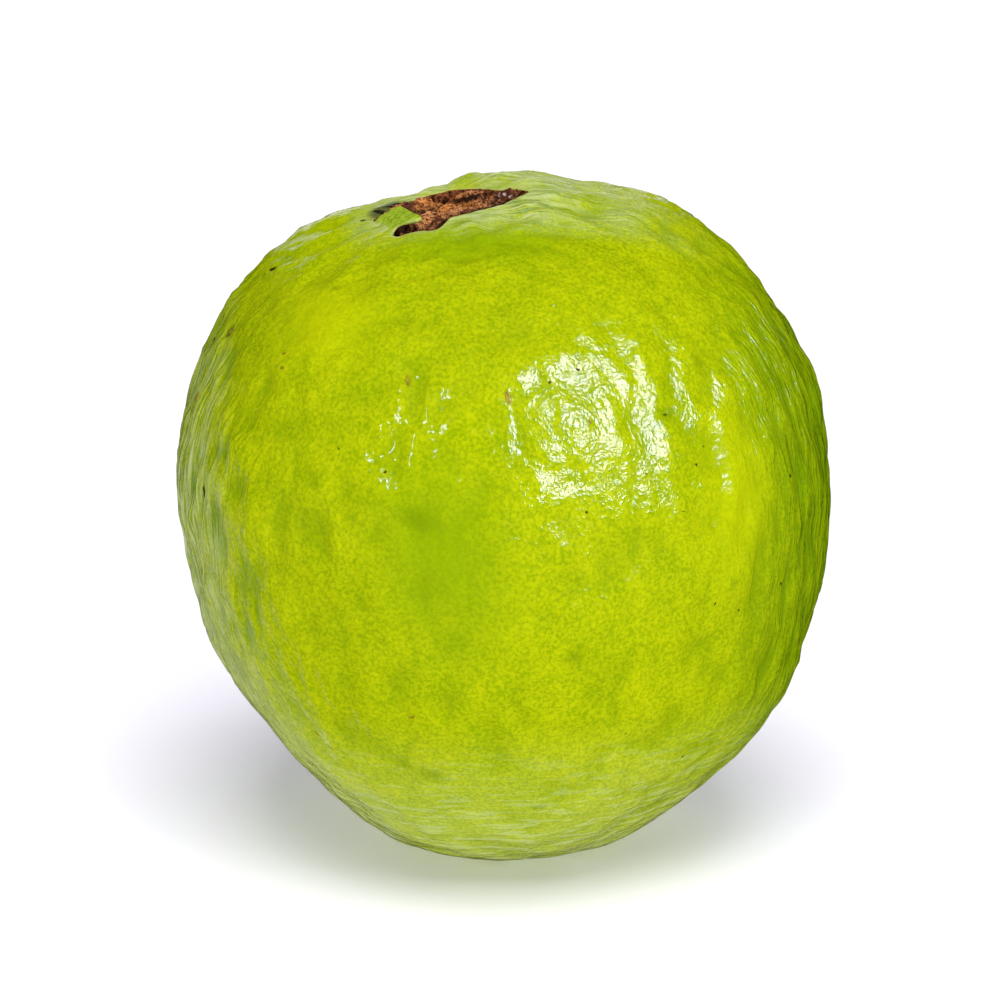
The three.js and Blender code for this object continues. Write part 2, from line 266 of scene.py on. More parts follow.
def raiseSkin(mesh):
    # gives the skin its relief, and notes for the material what each place of it is
    form = skinForm
    places = skinPlaces
    pit, ragged, stroke, patch = form["pit"], form["torn"], form["stroke"], places["patch"]
    normals = [vertex.normal.copy() for vertex in mesh.vertices]
    shares = {name: [] for name in skinShares}
    strokes = []
    tree = BVHTree.FromPolygons([v.co for v in mesh.vertices], [p.vertices for p in mesh.polygons])
    pitMiddle = onSkin(pit["at"])[0]
    for index, vertex in enumerate(mesh.vertices):
        point = vertex.co.copy()
        normal = normals[index]
        facing = leaning.transposed() @ normal
        place = toFruit(point)
        level = point.z / mm
        plan = Vector((place.x, place.y)) - fruit["calyxMiddle"]
        toFlower = flowerTree.find_nearest(point)[3] / mm

        height = skinRelief(point)
        height -= pit["depth"] * (1 - smooth(0, pit["reach"], (point - pitMiddle).length / mm))
        free = smooth(*form["footKept"], level) * smooth(*form["rimKept"], toFlower)
        vertex.co = point + normal * (height * free * mm)
        torn = ragged["depth"] * noise.noise(Vector((place.x, place.y, 0)) / ragged["size"])
        torn *= 1 - smooth(*ragged["reach"], toFlower)
        vertex.co = vertex.co + leaning @ Vector((*plan.normalized(), 0)) * torn * mm

        waved = place + noise.noise_vector(point / (stroke["waveSize"] * mm)) * stroke["wave"]
        strokes += [waved.x / stroke["length"], waved.y / stroke["width"], waved.z / stroke["length"]]

        reach = stretchedReach(plan, places["crown"])
        dullReach = stretchedReach(plan, places["dull"])
        above = smooth(*places["above"], place.z)
        patchy = min(1.0, patch["middle"] + patch["swing"] * noise.noise(place / patch["size"]))
        sepal = isSepal(tree, point, place, plan, normal)
        shares["hollow"].append(smooth(*places["hollow"], height))
        shares["pale"].append(paleShare(place, level, reach, height, toFlower))
        shares["deadTissue"].append(deadShare(point, place, plan, facing, toFlower))
        shares["crown"].append((1 - smooth(*places["crown"]["span"], reach)) * above * patchy)
        shares["dull"].append((1 - smooth(*places["dull"]["span"], dullReach)) * above)
        shares["sepal"].append(sepal)
        shares["cut"].append(sepal * (1 - smooth(*places["sepal"]["edge"], abs(facing.z))))
        shares["stemScar"].append(1 - smooth(*places["scar"], (point / mm - stemEnd).length))
    for name, values in shares.items():
        mesh.attributes.new(name, "FLOAT", "POINT").data.foreach_set("value", values)
    mesh.attributes.new("stroke", "FLOAT_VECTOR", "POINT").data.foreach_set("vector", strokes)


def creaseSharpEdges(piece):
    # keeps the torn edges round the calyx crisp when the mesh is smoothed
    mesh = piece.data
    crisp = skinForm["crisp"]
    crease = mesh.attributes.new("crease_edge", "FLOAT", "EDGE")
    facing = {}
    for polygon in mesh.polygons:
        for key in polygon.edge_keys:
            facing.setdefault(key, []).append(polygon.normal)
    for edge in mesh.edges:
        sides = facing.get(tuple(sorted(edge.vertices)), [])
        near = (mesh.vertices[edge.vertices[0]].co / mm - calyxTop).length < crisp["reach"]
        if near and len(sides) == 2 and sides[0].angle(sides[1], 0.0) > math.radians(crisp["degrees"]):
            crease.data[edge.index].value = 1.0


def thinFlap(mesh):
    # the loose sepal is thinner than the solid: its underside and edge are drawn up towards its top
    flap = skinForm["flap"]
    tree = BVHTree.FromPolygons([v.co for v in mesh.vertices], [p.vertices for p in mesh.polygons])
    up = leaning @ Vector((0, 0, 1))
    for vertex in mesh.vertices:
        near = (vertex.co / mm - calyxTop).length < flap["reach"]
        if near and vertex.normal.dot(up) < flap["under"]:
            inside = vertex.co - vertex.normal * flap["depth"] * mm
            toTop = tree.ray_cast(inside, up, flap["sheet"] * mm)[3]
            toUnderside = tree.ray_cast(inside, -up, flap["sheet"] * mm)[3]
            if toTop and toUnderside:
                vertex.co = vertex.co + up * toTop * flap["thinned"]
    mesh.update()


def makeSkin():
    piece = copyOfNode("fruit", "guava_skin")
    creaseSharpEdges(piece)
    thinFlap(piece.data)
    applied(piece, "SUBSURF", levels=skinForm["subdivisions"], render_levels=skinForm["subdivisions"])
    raiseSkin(piece.data)
    shadeSmooth(piece)
    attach(piece, "root")
    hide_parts("fruit")
    return piece


# the dried flower, in mm
flowerForm = {
    "swell": 0.3, "voxel": 0.13,
    "ringRise": 0.45, "ringWidth": (0.5, 1.5), "ringEnd": (1.5, 5.0),  # it climbs the wall of the cup
    "lumpSize": 1.6, "lumpHeight": 0.2,
    "crumbSize": 0.45, "crumbHeight": 0.3, "crumbMiddle": 0.45,
    "groove": ((446, 200), (486, 196)),  # between the ring and the disc
    "grooveWidth": 1.1, "grooveDepth": 0.9, "grooveFray": 0.5, "grooveEdge": (0.2, 1.0),
    "grooveSpan": (-0.3, 1.0),  # from a little before its first end to its last, as shares
    "shadeRays": 14, "shadeReach": 3.5, "shadeStart": 0.06, "shadeFacing": -0.3,
}


def skyWays(count):
    # ways spread evenly over the half of a ball above the fruit
    golden = math.pi * (3 - math.sqrt(5))
    ways = []
    for i in range(count):
        rise = (i + 0.5) / count
        out = math.sqrt(1 - rise * rise)
        ways.append(leaning @ Vector((out * math.cos(golden * i), out * math.sin(golden * i), rise)))
    return ways


def openness(tree, point, normal, ways):
    # the share of the sky above a point that nothing near it hides
    start = point + normal * flowerForm["shadeStart"] * mm
    clear = 0
    for way in ways:
        outwards = way if way.dot(normal) > 0 else -way
        if tree.ray_cast(start, outwards, flowerForm["shadeReach"] * mm)[0] is None:
            clear += 1
    return clear / len(ways)


def raiseFlower(mesh):
    form = flowerForm
    normals = [vertex.normal.copy() for vertex in mesh.vertices]
    up = leaning @ Vector((0, 0, 1))
    grooveEnds = [onSkin(at, flowerTree)[0] for at in form["groove"]]
    first, last = form["grooveSpan"]
    ring = []
    for index, vertex in enumerate(mesh.vertices):
        point = vertex.co / mm
        lump = form["lumpHeight"] * noise.noise(point / form["lumpSize"])
        crumb = form["crumbHeight"] * (form["crumbMiddle"] - noise.voronoi(point / form["crumbSize"])[0][0])
        ring.append(1 - smooth(*form["ringWidth"], fruitTree.find_nearest(vertex.co)[3] / mm))
        rightEnd = smooth(*form["ringEnd"], toFruit(vertex.co).x - fruit["calyxMiddle"].x)
        rise = form["ringRise"] * ring[-1] * max(0.0, normals[index].dot(up)) * (1 - rightEnd)
        along = intersect_point_line(vertex.co, *grooveEnds)[1]
        foot = grooveEnds[0].lerp(grooveEnds[1], min(last, max(first, along)))
        aside = (vertex.co - foot).length / mm / form["grooveWidth"] + form["grooveFray"] * noise.noise(point)
        rise -= form["grooveDepth"] * (1 - smooth(*form["grooveEdge"], aside))
        vertex.co = vertex.co + (normals[index] * (lump + crumb) + up * rise) * mm
    mesh.attributes.new("ring", "FLOAT", "POINT").data.foreach_set("value", ring)
    mesh.update()


def noteOpenness(piece, skin):
    # crevices are told from crests by how much of the sky they see, for the painted shade that blackens them
    mesh = piece.data
    ways = skyWays(flowerForm["shadeRays"])
    depsgraph = bpy.context.evaluated_depsgraph_get()
    trees = [BVHTree.FromObject(thing, depsgraph) for thing in (piece, skin)]
    shares = []
    for vertex in mesh.vertices:
        share = 1.0
        if vertex.normal.dot(ways[0]) > flowerForm["shadeFacing"]:  # the rest looks down
            for tree in trees:
                share = min(share, openness(tree, vertex.co, vertex.normal, ways))
        shares.append(share)
    mesh.attributes.new("openness", "FLOAT", "POINT").data.foreach_set("value", shares)


def makeFlower(skin):
    piece = copyOfNode("dried_flower", "dried_flower_remains")
    for vertex in piece.data.vertices:
        vertex.co = vertex.co + vertex.normal * flowerForm["swell"] * mm
    applied(piece, "REMESH", mode="VOXEL", voxel_size=flowerForm["voxel"] * mm, use_smooth_shade=True)
    raiseFlower(piece.data)
    noteOpenness(piece, skin)
    shadeSmooth(piece)
    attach(piece, "root")
    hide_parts("dried_flower")
    return piece


def linear(hexColor):
    # an sRGB hex colour as linear red, green, blue and alpha
    channels = [int(hexColor[i:i + 2], 16) / 255 for i in (1, 3, 5)]
    return [c / 12.92 if c <= 0.04045 else ((c + 0.055) / 1.055) ** 2.4 for c in channels] + [1.0]


def addNode(tree, kind, settings=None, inputs=None, output=0):
    # settings are the node's own; an input is a number, a hex colour or another node's output
    node = tree.nodes.new(kind)
    for name, value in (settings or {}).items():
        setattr(node, name, value)
    for name, value in (inputs or {}).items():
        if isinstance(value, bpy.types.NodeSocket):
            tree.links.new(value, node.inputs[name])
        else:
            node.inputs[name].default_value = linear(value) if isinstance(value, str) else value
    return node.outputs[output] if node.outputs else node


def newMaterial(name):
    material = bpy.data.materials.new(name)
    material.use_nodes = True
    tree = material.node_tree
    tree.nodes.clear()
    return material, tree


def strength(tree, fields, parts):
    # the strongest of the parts: each is a field's rise from nothing to its top, kept to a zone
    share = 0.0
    for name, low, high, top, zone in parts:
        limits = {"Value": fields[name], "From Min": low, "From Max": high, "To Max": top}
        rise = addNode(tree, "ShaderNodeMapRange", {}, limits)
        inZone = addNode(tree, "ShaderNodeMath", {"operation": "MULTIPLY"}, {0: rise, 1: fields[zone]})
        share = addNode(tree, "ShaderNodeMath", {"operation": "MAXIMUM"}, {0: share, 1: inZone})
    return share


def painted(tree, fields, color, layers):
    # lays the layers over a colour; one with a second colour varies between the two
    for layer in layers:
        tone = layer["color"]
        if "second" in layer:
            ends = {0: fields[layer["by"]], 6: tone, 7: layer["second"]}
            tone = addNode(tree, "ShaderNodeMix", {"data_type": "RGBA"}, ends, output=2)
        share = strength(tree, fields, layer["parts"])
        color = addNode(tree, "ShaderNodeMix", {"data_type": "RGBA"}, {0: share, 6: color, 7: tone}, output=2)
    return color


# what can happen to the skin or the flower, and the painted highlights and shade: the share of a mark's size
# that is solid, then how strongly it colours, and whether it is dry, with no wax
markKinds = {
    "scab": {"color": "#7a5a18", "solid": 0.4, "share": 0.85, "dry": True},
    "golden": {"color": "#a89a2c", "solid": 0.2, "share": 0.85, "dry": False},
    "speck": {"color": "#241405", "solid": 0.6, "share": 0.97, "dry": True},
    "bruise": {"color": "#5c7a04", "solid": 0.0, "share": 0.45, "dry": False},
    "green": {"color": "#7d9a04", "solid": 0.0, "share": 0.72, "dry": False},
    "yellow": {"color": "#c8d004", "solid": 0.0, "share": 0.42, "dry": False},
    "torn": {"color": "#43442c", "solid": 0.5, "share": 0.85, "dry": True},
    "slit": {"color": "#1b140c", "solid": 0.6, "share": 0.92, "dry": True},
    # painted highlight: pale specks that stand for shine
    "glint": {"color": "#eadcd4", "solid": 0.0, "share": 0.9, "dry": True},
    "cork": {"color": "#dd8f48", "solid": 0.5, "share": 0.85, "dry": True},
    "umber": {"color": "#3c170c", "solid": 0.3, "share": 0.85, "dry": True},
    # painted shade, black in a crevice
    "crevice": {"color": "#120804", "solid": 0.4, "share": 0.95, "dry": True},
}
markEdge = {"fraySize": 0.5, "fray": 0.7, "least": 2.0}  # mm; the least is deep enough for the relief

# the marks on the skin: a pixel of the camera's frame, half length and half width in mm, turn in degrees
skinMarks = [
    {"kind": "green", "at": (440, 560), "size": (18.0, 12.0), "turn": 70},
    {"kind": "yellow", "at": (740, 500), "size": (9.0, 17.0), "turn": 0},
    {"kind": "yellow", "at": (325, 320), "size": (12.0, 9.0), "turn": 40},
    {"kind": "green", "at": (480, 240), "size": (16.0, 6.0), "turn": 0},
    {"kind": "scab", "at": (407, 380), "size": (0.85, 0.38), "turn": 80},
    {"kind": "scab", "at": (508, 397), "size": (1.2, 0.45), "turn": 78},
    {"kind": "golden", "at": (407, 379), "size": (0.5, 0.2), "turn": 80},
    {"kind": "golden", "at": (508, 398), "size": (0.8, 0.24), "turn": 78},
    {"kind": "umber", "at": (229, 331), "size": (0.95, 1.05), "turn": 70},
    {"kind": "golden", "at": (229, 331), "size": (0.5, 0.5), "turn": 70},
    {"kind": "umber", "at": (212, 338), "size": (0.7, 0.4), "turn": 60},
    {"kind": "scab", "at": (197, 397), "size": (1.0, 0.8), "turn": 80},
    {"kind": "speck", "at": (550, 382), "size": (0.22, 0.18), "turn": 0},
    {"kind": "speck", "at": (578, 369), "size": (0.26, 0.2), "turn": 30},
    {"kind": "scab", "at": (589, 422), "size": (0.42, 0.3), "turn": 80},
    {"kind": "speck", "at": (667, 413), "size": (0.42, 0.24), "turn": -35},
    {"kind": "speck", "at": (697, 464), "size": (0.16, 0.16), "turn": 0},
    {"kind": "speck", "at": (706, 446), "size": (0.16, 0.12), "turn": 0},
    {"kind": "speck", "at": (647, 474), "size": (0.2, 0.12), "turn": 40},
    {"kind": "speck", "at": (682, 511), "size": (0.26, 0.12), "turn": 30},
    {"kind": "speck", "at": (587, 512), "size": (0.2, 0.12), "turn": 30},
    {"kind": "scab", "at": (284, 354), "size": (0.45, 0.28), "turn": 25},
    {"kind": "scab", "at": (283, 369), "size": (0.45, 0.28), "turn": 25},
    {"kind": "speck", "at": (338, 448), "size": (0.3, 0.14), "turn": 40},
    {"kind": "speck", "at": (384, 472), "size": (0.22, 0.12), "turn": 10},
    {"kind": "speck", "at": (273, 269), "size": (0.9, 0.45), "turn": 40},
    {"kind": "umber", "at": (264, 275), "size": (0.5, 0.3), "turn": 40},
    {"kind": "scab", "at": (253, 335), "size": (0.35, 0.25), "turn": 40},
    {"kind": "bruise", "at": (336, 288), "size": (1.6, 0.8), "turn": 25},
    {"kind": "bruise", "at": (667, 413), "size": (1.9, 1.3), "turn": -35},
    {"kind": "bruise", "at": (312, 480), "size": (2.2, 1.4), "turn": 60},
    {"kind": "bruise", "at": (415, 520), "size": (4.0, 2.2), "turn": 20},
    {"kind": "bruise", "at": (430, 775), "size": (3.2, 2.0), "turn": 10},
    {"kind": "bruise", "at": (405, 765), "size": (1.6, 1.2), "turn": 10},
    {"kind": "bruise", "at": (538, 808), "size": (1.8, 1.0), "turn": 0},
    {"kind": "bruise", "at": (700, 365), "size": (3.0, 1.6), "turn": 50},
    {"kind": "torn", "at": (385, 208), "size": (2.5, 3.6), "turn": 25},
    {"kind": "slit", "at": (380, 211), "size": (1.6, 0.5), "turn": 40},
    {"kind": "slit", "at": (396, 203), "size": (1.0, 0.5), "turn": 30},
    {"kind": "slit", "at": (390, 206), "size": (1.5, 0.4), "turn": 30},
    {"kind": "slit", "at": (363, 221), "size": (0.5, 0.4), "turn": 25},
    # painted shade along the front rim of the cup
    {"kind": "green", "at": (447, 218), "size": (3.0, 1.6), "turn": 8},
    {"kind": "speck", "at": (202, 491), "size": (0.95, 0.7), "turn": 85},
    {"kind": "umber", "at": (735, 258), "size": (0.35, 0.22), "turn": 0},
    {"kind": "scab", "at": (316, 735), "size": (0.4, 0.3), "turn": 0},
    {"kind": "speck", "at": (790, 476), "size": (0.3, 0.2), "turn": 0},
    {"kind": "speck", "at": (782, 584), "size": (0.4, 0.24), "turn": 0},
    {"kind": "speck", "at": (739, 611), "size": (0.24, 0.2), "turn": 0},
    {"kind": "speck", "at": (715, 604), "size": (0.26, 0.2), "turn": 0},
    {"kind": "scab", "at": (412, 717), "size": (0.6, 0.2), "turn": -30},
    {"kind": "speck", "at": (625, 734), "size": (0.18, 0.16), "turn": 0},
    {"kind": "speck", "at": (683, 758), "size": (0.22, 0.16), "turn": 0},
    {"kind": "bruise", "at": (733, 583), "size": (1.2, 0.8), "turn": -30},
    {"kind": "bruise", "at": (576, 658), "size": (2.0, 2.4), "turn": 0},
]


def paintMarks(tree, inMm, color, marks, carrier):
    # ellipses lying in the surface, their edges frayed by a fine noise
    matt = 0.0
    frayed = addNode(
        tree,
        "ShaderNodeTexNoise",
        {},
        {"Vector": inMm, "Scale": 1 / markEdge["fraySize"], "Detail": 2.0},
        output="Color",
    )
    frayed = addNode(
        tree,
        "ShaderNodeVectorMath",
        {"operation": "MULTIPLY_ADD"},
        {0: frayed, 1: [markEdge["fray"]] * 3, 2: inMm},
    )
    for mark in marks:
        kind = markKinds[mark["kind"]]
        point, normal = onSkin(mark["at"], carrier)
        across = Vector((1, 0, 0)) - normal * normal.x
        turned = Matrix.Rotation(math.radians(-mark["turn"]), 3, normal) @ across.normalized()
        axes = Matrix((turned, normal.cross(turned), normal)).transposed()
        local = addNode(
            tree,
            "ShaderNodeMapping",
            {"vector_type": "TEXTURE"},
            {
                "Vector": frayed,
                "Location": point / mm + Vector([markEdge["fray"] / 2] * 3),
                "Rotation": axes.to_euler(),
                "Scale": (*mark["size"], max(*mark["size"], markEdge["least"])),
            },
        )
        reach = addNode(tree, "ShaderNodeVectorMath", {"operation": "LENGTH"}, {0: local}, output="Value")
        limits = {"Value": reach, "From Min": kind["solid"], "To Min": kind["share"], "To Max": 0.0}
        share = addNode(tree, "ShaderNodeMapRange", {"interpolation_type": "SMOOTHSTEP"}, limits)
        ends = {0: share, 6: color, 7: kind["color"]}
        color = addNode(tree, "ShaderNodeMix", {"data_type": "RGBA"}, ends, output=2)
        if kind["dry"]:
            matt = addNode(tree, "ShaderNodeMath", {"operation": "MAXIMUM"}, {0: share, 1: matt})
    return color, matt


skinLook = {
    "yellow": "#b7c008",
    "green": "#849c04",
    "greenShares": {"tint": 0.12, "mottle": 0.4, "grain": 0.6},
    # cloudy patterns: largest blotch in mm, then how fine, how rough, and the noise from nothing to all
    "clouds": {
        "tint": (9.0, 2.0, 0.5, 0.3, 0.7),
        "mottle": (5.5, 6.0, 0.95, 0.38, 0.62),
        "grain": (0.42, 3.0, 0.6, 0.4, 0.6),
        "crinkle": (0.42, 2.0, 0.5, 0.0, 1.0),
        "dent": (1.5, 1.0, 0.5, 0.0, 1.0),
    },
    # streaks: their size in mm across, back and up
    "streaks": {
        "wrinkle": (4.0, 0.5, 6.0),  # down the left and right flanks
        "arc": (5.0, 5.0, 0.7),  # low ones round the stem end
        "pleat": (4.0, 2.0, 9.0),  # wide ones up and down the right flank
        "stroke": (1.0, 1.0, 1.0),  # over the crown, in the sizes that the skin's form gives them
    },
    "paintedSheenWay": (-1.0, 0.0, -0.52),  # down to the left, where the painted reflection is thickest
    "toStrokes": 0.15,  # the share of crown at which its strokes have taken over
    "deadGrain": 0.4,  # frays the edge of the dead tissue
    # a field, where the zone begins and is full in mm, and how much of something it gets there
    "zones": {
        "flanks": ("aside", 22.0, 34.0, 0.0, 1.0),
        # how strongly the painted shade fills the hollows, more on the flanks
        "shadeInHollows": ("aside", 22.0, 34.0, 0.4, 0.75),
        "left": ("across", -31.5, -38.5, 0.0, 1.0),
        "right": ("across", 24.0, 36.0, 0.0, 1.0),
        "crackled": ("across", -5.0, 4.0, 0.015, 0.095),
        "low": ("level", 24.0, 8.0, 0.0, 1.0),
        "sheenLowLeft": ("towardsPaintedSheen", 14.0, 20.0, 0.0, 1.0),
    },
    # each part: a field, where it begins and is full, its top, and the zone that it is kept to
    "underMarks": [
        {"color": "#568205", "parts": [("across", 24.0, 40.0, 0.55, "all")]},  # painted shade: the right flank darker and greener, towards the side the light leaves
        # painted shade: deeper green in the hollows of the relief
        {"color": "#6f8c06", "parts": [("hollow", 0.0, 1.0, 1.0, "shadeInHollows")]},
        # paler skin on the crests and lip, partly painted sheen, and painted light towards the foot
        {"color": "#bcc67e", "parts": [("pale", 0.0, 1.0, 1.0, "all")]},
        {"color": "#4e7404", "parts": [  # painted shade: deep green in the valleys between the wrinkles and pleats
            ("wrinkle", 0.48, 0.4, 0.7, "crown"),
            ("wrinkle", 0.48, 0.4, 0.63, "left"),
            ("wrinkle", 0.48, 0.4, 0.35, "flanks"),
            ("pleat", 0.53, 0.35, 0.65, "right"),
        ]},
        {"color": "#c3d09a", "parts": [  # pale on their crests: wax bloom mixed with painted sheen on the crown, and painted reflection of the pale room, thick low on the left and along the left side
            ("wrinkle", 0.54, 0.57, 0.65, "crown"),
            ("wrinkle", 0.47, 0.66, 0.85, "left"),
            ("wrinkle", 0.47, 0.66, 0.595, "sheenLowLeft"),
            ("arc", 0.53, 0.58, 0.35, "low"),
            ("mottle", 0.1, 0.9, 0.45, "crown"),
            ("mottle", 0.1, 0.9, 0.45, "sheenLowLeft"),
        ]},
        {"color": "#5f8010", "second": "#b0c43a", "by": "leaf", "parts": [("sepal", 0.0, 1.0, 1.0, "all")]},
        {"color": "#c2cf6a", "parts": [("cut", 0.0, 1.0, 1.0, "all")]},
    ],
    "overMarks": [
        {"color": "#6b4a24", "parts": [("stemScar", 0.0, 1.0, 1.0, "all")]},
        {"color": "#2c160b", "second": "#8e5433", "by": "grain", "parts": [("dead", 0.5, 0.75, 1.0, "all")]},
    ],
    "noWax": [
        ("sepal", 0.0, 1.0, 1.0, "all"),
        ("stemScar", 0.0, 1.0, 1.0, "all"),
        ("dead", 0.5, 0.75, 1.0, "all"),
        ("dull", 0.0, 1.0, 0.75, "all"),  # there is less wax round the calyx
    ],
    # a field, its height in mm, and its zone
    "relief": [
        ("dent", 0.21, "all"),
        ("crinkle", 1.0, "crackled"),
        ("wrinkle", 0.42, "wrinkled"),
        ("arc", 0.16, "low"),
        ("pleat", 1.6, "right"),
    ],
}


def skinFields(tree, inMm):
    # all that the skin's colours and heights are made from, by name
    look = skinLook
    fields = {"all": 1.0}
    for name in skinShares:
        fields[name] = addNode(tree, "ShaderNodeAttribute", {"attribute_name": name}, output="Fac")
    fields["across"] = addNode(tree, "ShaderNodeSeparateXYZ", {}, {0: inMm}, output="X")
    fields["level"] = addNode(tree, "ShaderNodeSeparateXYZ", {}, {0: inMm}, output="Z")
    fields["aside"] = addNode(tree, "ShaderNodeMath", {"operation": "ABSOLUTE"}, {0: fields["across"]})
    ends = {0: inMm, 1: look["paintedSheenWay"]}
    fields["towardsPaintedSheen"] = addNode(
        tree, "ShaderNodeVectorMath", {"operation": "DOT_PRODUCT"}, ends, output="Value"
    )
    for name, (size, detail, roughness, low, high) in look["clouds"].items():
        settings = {"Vector": inMm, "Scale": 1 / size, "Detail": detail, "Roughness": roughness}
        cloud = addNode(tree, "ShaderNodeTexNoise", {}, settings)
        limits = {"Value": cloud, "From Min": low, "From Max": high}
        fields[name] = addNode(tree, "ShaderNodeMapRange", {}, limits)
    waved = addNode(tree, "ShaderNodeAttribute", {"attribute_name": "stroke"}, output="Vector")
    for name, sizes in look["streaks"].items():
        settings = {"Vector": waved if name == "stroke" else inMm, "Scale": [1 / size for size in sizes]}
        stretched = addNode(tree, "ShaderNodeMapping", {}, settings)
        settings = {"Vector": stretched, "Scale": 1.0, "Detail": 3.0, "Distortion": 0.5}
        fields[name] = addNode(tree, "ShaderNodeTexNoise", {}, settings)
    for name, (source, low, high, least, most) in look["zones"].items():
        limits = {"Value": fields[source], "From Min": low, "From Max": high, "To Min": least, "To Max": most}
        fields[name] = addNode(tree, "ShaderNodeMapRange", {}, limits)
    # the wrinkles turn into strokes where the crown begins
    limits = {"Value": fields["crown"], "From Max": look["toStrokes"]}
    onCrown = addNode(tree, "ShaderNodeMapRange", {}, limits)
    ends = {0: onCrown, 2: fields["wrinkle"], 3: fields["stroke"]}
    fields["wrinkle"] = addNode(tree, "ShaderNodeMix", {"data_type": "FLOAT"}, ends)
    ends = {0: fields["crown"], 1: fields["flanks"]}
    fields["wrinkled"] = addNode(tree, "ShaderNodeMath", {"operation": "MAXIMUM"}, ends)
    ends = {0: fields["mottle"], 1: fields["grain"]}
    both = addNode(tree, "ShaderNodeMath", {"operation": "ADD"}, ends)
    fields["leaf"] = addNode(tree, "ShaderNodeMath", {"operation": "MULTIPLY"}, {0: both, 1: 0.5})
    terms = {0: fields["grain"], 1: look["deadGrain"], 2: fields["deadTissue"]}
    fields["dead"] = addNode(tree, "ShaderNodeMath", {"operation": "MULTIPLY_ADD"}, terms)
    return fields


def waxySkin():
    # guava skin: a smooth wax film over finely wrinkled peel, so the light breaks into glints
    look = skinLook
    material, tree = newMaterial("waxy_guava_skin")
    place = addNode(tree, "ShaderNodeTexCoord", output="Object")
    inMm = addNode(tree, "ShaderNodeVectorMath", {"operation": "SCALE"}, {0: place, "Scale": 1 / mm})
    fields = skinFields(tree, inMm)
    green = 0.0
    for name, share in look["greenShares"].items():
        terms = {0: fields[name], 1: share, 2: green}
        green = addNode(tree, "ShaderNodeMath", {"operation": "MULTIPLY_ADD"}, terms)
    ends = {0: green, 6: look["yellow"], 7: look["green"]}
    color = addNode(tree, "ShaderNodeMix", {"data_type": "RGBA"}, ends, output=2)
    color = painted(tree, fields, color, look["underMarks"])
    color, matt = paintMarks(tree, inMm, color, skinMarks, fruitTree)
    color = painted(tree, fields, color, look["overMarks"])
    bare = strength(tree, fields, look["noWax"])
    matt = addNode(tree, "ShaderNodeMath", {"operation": "MAXIMUM"}, {0: matt, 1: bare})
    wax = addNode(tree, "ShaderNodeMath", {"operation": "SUBTRACT"}, {0: 1.0, 1: matt})
    height = 0.0
    for name, most, zone in look["relief"]:
        terms = {0: fields[name], 1: fields[zone]}
        inZone = addNode(tree, "ShaderNodeMath", {"operation": "MULTIPLY"}, terms)
        terms = {0: inZone, 1: most, 2: height}
        height = addNode(tree, "ShaderNodeMath", {"operation": "MULTIPLY_ADD"}, terms)
    bump = addNode(tree, "ShaderNodeBump", {}, {"Strength": 1.0, "Distance": mm, "Height": height})
    shader = addNode(
        tree,
        "ShaderNodeBsdfPrincipled",
        {},
        {
            "Base Color": color,
            "Roughness": 0.5,
            "IOR": 1.45,
            "Specular IOR Level": 0.0,  # the light is thrown back by the wax alone
            "Normal": bump,
            "Coat Weight": wax,
            "Coat Roughness": 0.06,
            "Coat IOR": 1.5,
            "Coat Normal": bump,
        },
    )
    addNode(tree, "ShaderNodeOutputMaterial", {}, {"Surface": shader})
    return material


flowerLook = {
    "middle": "#94502c",
    "underMarks": [
        {"color": "#dd9c64", "parts": [("grain", 0.42, 0.6, 1.0, "all")]},
        {"color": "#a0603a", "parts": [("ring", 0.0, 1.0, 0.5, "all")]},
    ],
    "overMarks": [
        {"color": "#3a1408", "parts": [("grain", 0.52, 0.4, 0.9, "all")]},
        # painted shade: black where little of the sky is seen
        {"color": "#120602", "parts": [("openness", 0.8, 0.35, 0.97, "all")]},
    ],
    "grain": 0.34,  # mm
    "fibre": (0.6, 1.0, 1.0),  # the grain is drawn out to the sides
    "grainHeight": 0.2,
}

flowerMarks = [
    {"kind": "cork", "at": (450, 207), "size": (5.2, 2.0), "turn": 8},
    {"kind": "cork", "at": (418, 210), "size": (1.8, 1.8), "turn": 0},
    # painted shade along the furrow between the ring and the disc
    {"kind": "crevice", "at": (466, 199), "size": (3.8, 0.5), "turn": 8},
    {"kind": "umber", "at": (436, 225), "size": (1.9, 2.6), "turn": 0},
    {"kind": "umber", "at": (505, 196), "size": (2.6, 3.0), "turn": 0},
    {"kind": "umber", "at": (408, 205), "size": (1.4, 2.6), "turn": 0},
    # painted highlights at the right end of the flower
    {"kind": "glint", "at": (500, 196), "size": (0.3, 0.3), "turn": 0},
    {"kind": "glint", "at": (505, 195), "size": (0.3, 0.3), "turn": 0},
    {"kind": "glint", "at": (511, 197), "size": (0.3, 0.3), "turn": 0},
]


